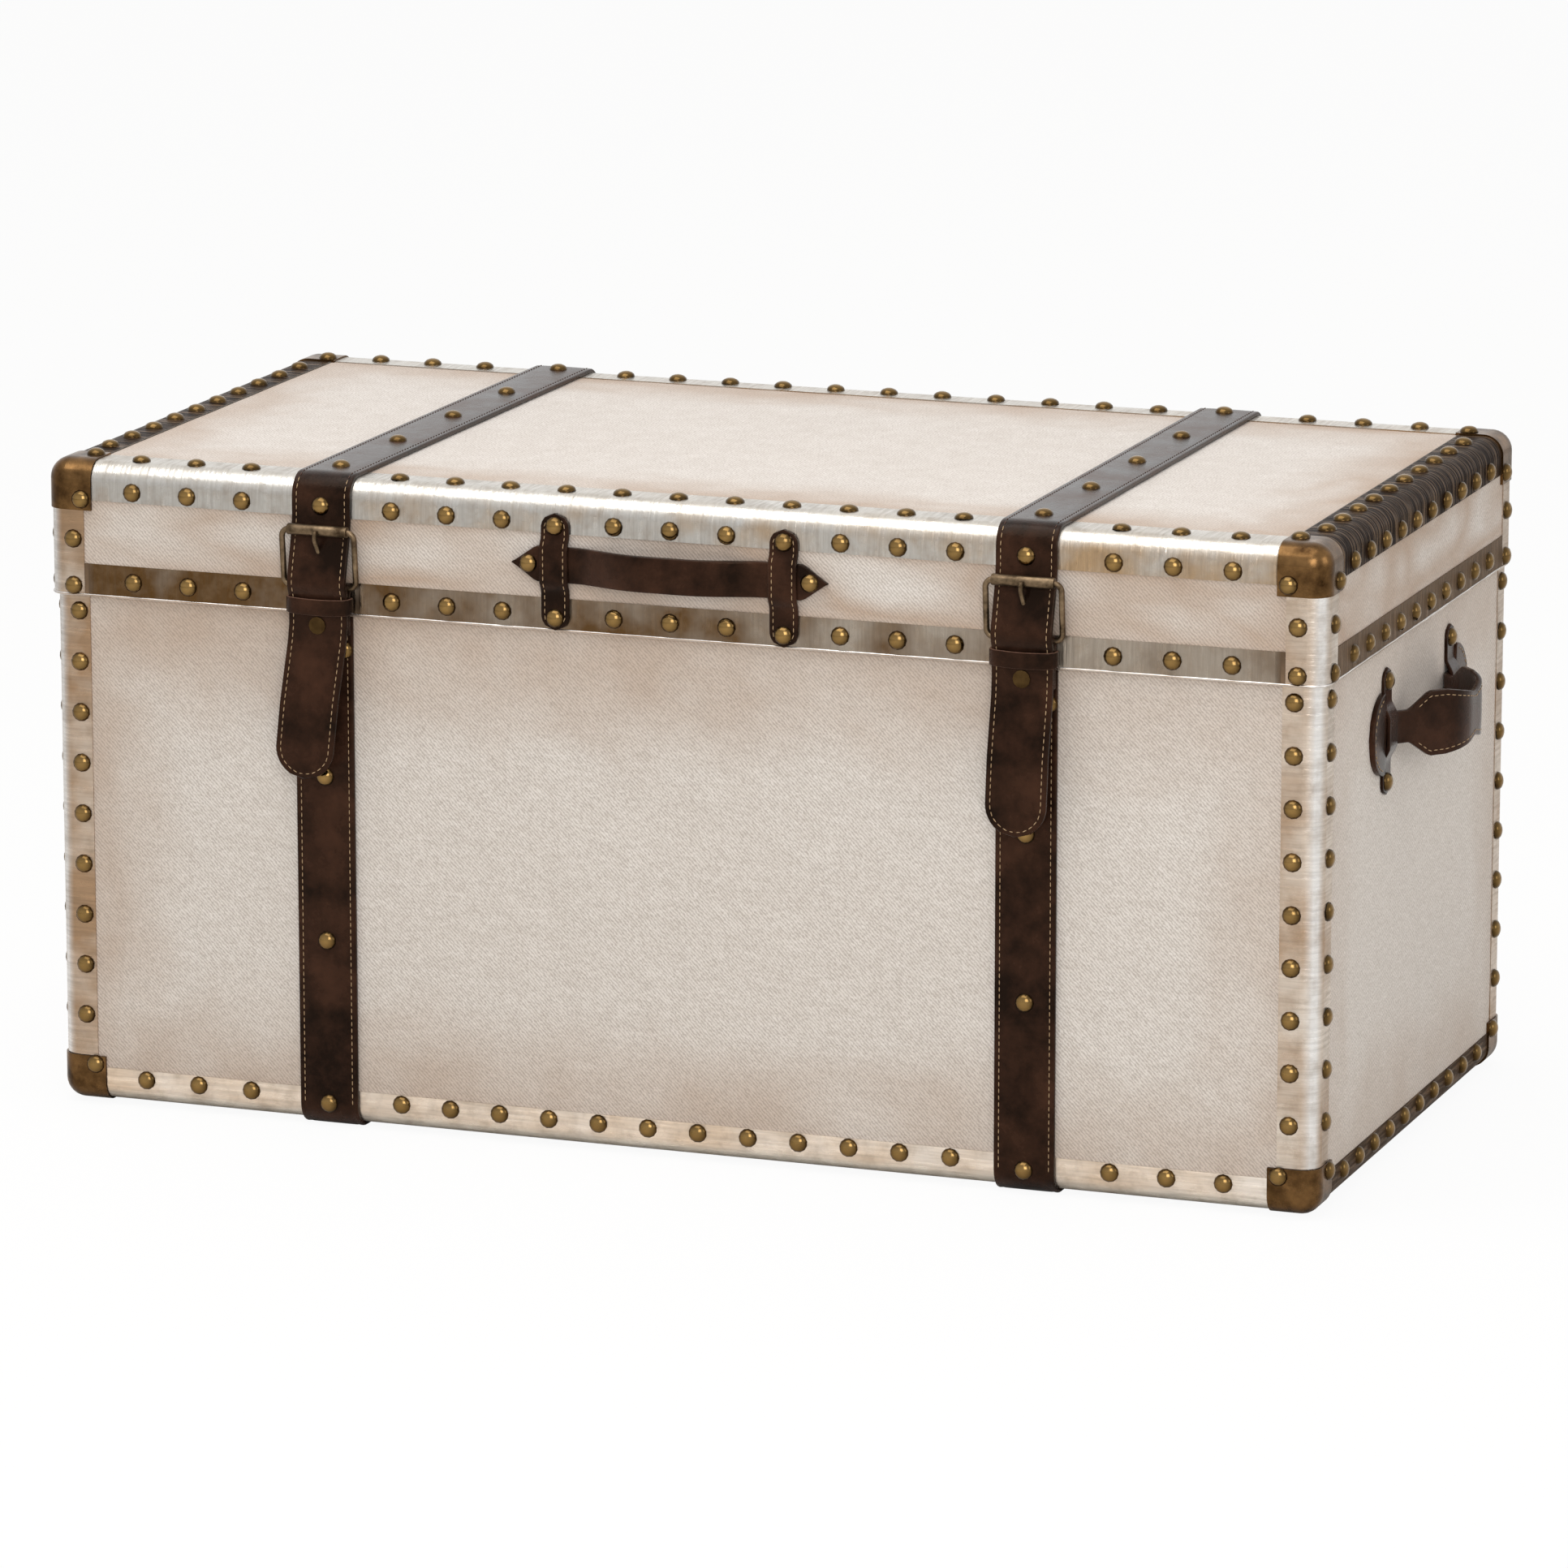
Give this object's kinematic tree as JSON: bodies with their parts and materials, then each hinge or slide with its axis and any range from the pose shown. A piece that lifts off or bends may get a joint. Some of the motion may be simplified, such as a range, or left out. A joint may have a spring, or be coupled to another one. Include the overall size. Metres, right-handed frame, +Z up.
{
  "type": "storage trunk",
  "caption": "Canvas-covered storage trunk with metal edge strips, brass corner caps and dome nails, a hinged lid on folding stays, leather straps with roller buckles, and leather handles.",
  "frame": {"origin": "under the middle of the whole trunk, on the surface it stands on", "axes": "+Z up, front faces -Y, +X to the right along the length as seen from the front"},
  "size_m": [0.976, 0.474, 0.4544],
  "materials": {
    "boards": "plain sawn boards, unvarnished",
    "canvas": "off-white twill, shaded brown toward the edges",
    "lining": "plain beige cotton",
    "edge_strip": "brushed and aged, with gold-brown patches",
    "antique_brass": "antique, worn bright on top",
    "leather": "waxed dark brown, stitched",
    "buckle_metal": "aged bronze",
    "hinge_steel": "plated"
  },
  "bodies": {
    "base": {"base_back_panel": "boards", "base_bottom_panel": "boards", "base_bottom_strips": "edge_strip", "base_canvas": "canvas", "base_corner_caps": "antique_brass", "base_corner_strips": "edge_strip", "base_end_panels": "boards", "base_front_panel": "boards", "base_leather_nails": "antique_brass", "base_lining": "lining", "base_screws": "hinge_steel", "base_strip_nails": "antique_brass", "handle_bridges": "leather", "handle_ends": "leather", "hinge_base_leaves": "hinge_steel", "hinge_pins": "hinge_steel", "left_base_strap": "leather", "right_base_strap": "leather", "snap_strikes": "buckle_metal", "stay_base_brackets": "hinge_steel"},
    "lid": {"front_handle": "leather", "front_handle_loops": "leather", "hinge_lid_leaves": "hinge_steel", "left_lid_strap": "leather", "lid_back_panel": "boards", "lid_canvas": "canvas", "lid_corner_caps": "antique_brass", "lid_corner_strips": "edge_strip", "lid_end_panels": "boards", "lid_front_panel": "boards", "lid_leather_nails": "antique_brass", "lid_lining": "lining", "lid_rim_bands": "edge_strip", "lid_screws": "hinge_steel", "lid_strip_nails": "antique_brass", "lid_top_panel": "boards", "lid_top_strips": "edge_strip", "right_lid_strap": "leather", "stay_lid_brackets": "hinge_steel"},
    "left_flap": {"left_tongue": "leather", "left_buckle_frame": "buckle_metal", "left_prong": "buckle_metal", "left_buckle_tab": "leather", "left_keeper": "leather", "left_snap": "buckle_metal"},
    "left_roller": {"left_roller": "buckle_metal"},
    "left_grip": {"left_handle_grip": "leather"},
    "left_lower_arm": {"left_lower_stay_arm": "hinge_steel"},
    "left_upper_arm": {"left_upper_stay_arm": "hinge_steel"},
    "right_flap": {"right_tongue": "leather", "right_buckle_frame": "buckle_metal", "right_prong": "buckle_metal", "right_buckle_tab": "leather", "right_keeper": "leather", "right_snap": "buckle_metal"},
    "right_roller": {"right_roller": "buckle_metal"},
    "right_grip": {"right_handle_grip": "leather"},
    "right_lower_arm": {"right_lower_stay_arm": "hinge_steel"},
    "right_upper_arm": {"right_upper_stay_arm": "hinge_steel"}
  },
  "joints": [
    {"name": "lid_hinge", "type": "hinge", "parent": "base", "child": "lid", "pos_m": [0, 0.2336, 0.3552], "axis": [-1, 0, 0], "range_deg": [0, 100]},
    {"name": "left_flap_swing", "type": "hinge", "parent": "lid", "child": "left_flap", "pos_m": [-0.248, -0.2215, 0.4214], "axis": [-1, 0, 0], "range_deg": [0, 75]},
    {"name": "left_roller_spin", "type": "hinge", "parent": "left_flap", "child": "left_roller", "pos_m": [-0.248, -0.2284, 0.41373], "axis": [1, 0, 0], "continuous": true},
    {"name": "left_handle_swing", "type": "hinge", "parent": "base", "child": "left_grip", "pos_m": [-0.45702, 0.005, 0.297], "axis": [0, 1, 0], "range_deg": [-35, 35]},
    {"name": "left_lower_arm_swing", "type": "hinge", "parent": "base", "child": "left_lower_arm", "pos_m": [-0.427, 0.09902, 0.31661], "axis": [-1, 0, 0], "range_deg": [0, 100]},
    {"name": "left_upper_arm_swing", "type": "hinge", "parent": "lid", "child": "left_upper_arm", "pos_m": [-0.427, 0.09902, 0.39379], "axis": [-1, 0, 0], "range_deg": [-100, 0]},
    {"name": "right_flap_swing", "type": "hinge", "parent": "lid", "child": "right_flap", "pos_m": [0.248, -0.2215, 0.4214], "axis": [-1, 0, 0], "range_deg": [0, 75]},
    {"name": "right_roller_spin", "type": "hinge", "parent": "right_flap", "child": "right_roller", "pos_m": [0.248, -0.2284, 0.41373], "axis": [1, 0, 0], "continuous": true},
    {"name": "right_handle_swing", "type": "hinge", "parent": "base", "child": "right_grip", "pos_m": [0.45702, 0.005, 0.297], "axis": [0, 1, 0], "range_deg": [-35, 35]},
    {"name": "right_lower_arm_swing", "type": "hinge", "parent": "base", "child": "right_lower_arm", "pos_m": [0.427, 0.09902, 0.31661], "axis": [-1, 0, 0], "range_deg": [0, 100]},
    {"name": "right_upper_arm_swing", "type": "hinge", "parent": "lid", "child": "right_upper_arm", "pos_m": [0.427, 0.09902, 0.39379], "axis": [-1, 0, 0], "range_deg": [-100, 0]}
  ],
  "couplings": [
    {"joint": "left_lower_arm_swing", "follows": "lid_hinge", "ratio": 1},
    {"joint": "left_upper_arm_swing", "follows": "lid_hinge", "ratio": -1},
    {"joint": "right_lower_arm_swing", "follows": "lid_hinge", "ratio": 1},
    {"joint": "right_upper_arm_swing", "follows": "lid_hinge", "ratio": -1}
  ]
}
